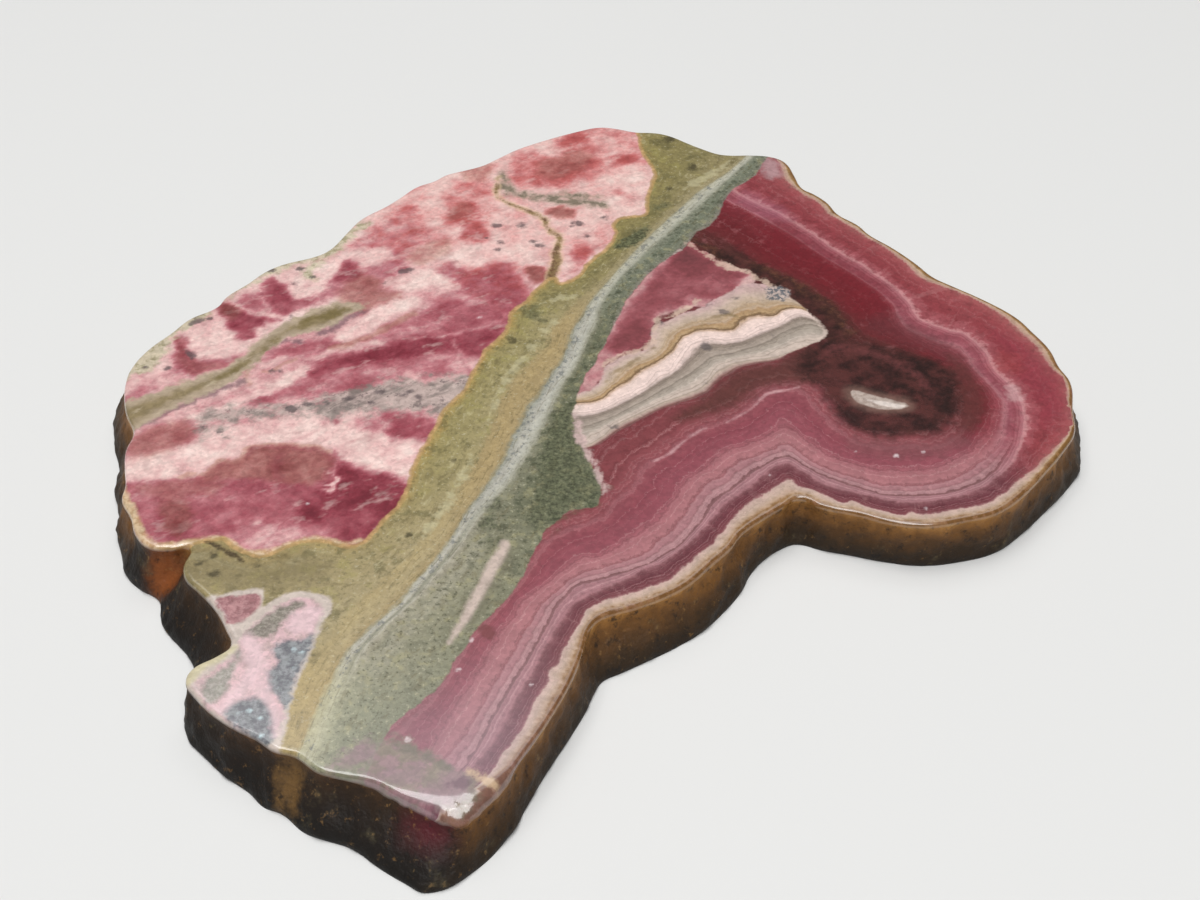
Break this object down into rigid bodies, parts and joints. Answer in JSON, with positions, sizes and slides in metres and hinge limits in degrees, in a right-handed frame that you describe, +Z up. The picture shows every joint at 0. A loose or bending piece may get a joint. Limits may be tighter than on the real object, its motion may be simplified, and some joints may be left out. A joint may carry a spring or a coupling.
{
  "type": "rhodochrosite slice",
  "caption": "Thin, flat, polished slice of banded rhodochrosite with a natural rind edge and a sawn end, lying on its lower cut face as a display mineral specimen.",
  "frame": {"origin": "centre of the bounding box on the lower cut face, which rests on the surface", "axes": "+Z up, from the lower cut face to the polished face; +X to the right, towards the round lobe; +Y away from the viewer, from the sawn end to the far edge"},
  "size_m": [0.0954, 0.1042, 0.005],
  "materials": {
    "banded_stone": "polished on the flat faces, rough brown rind on the wall"
  },
  "bodies": {
    "root": {"slice": "banded_stone"}
  },
  "joints": []
}
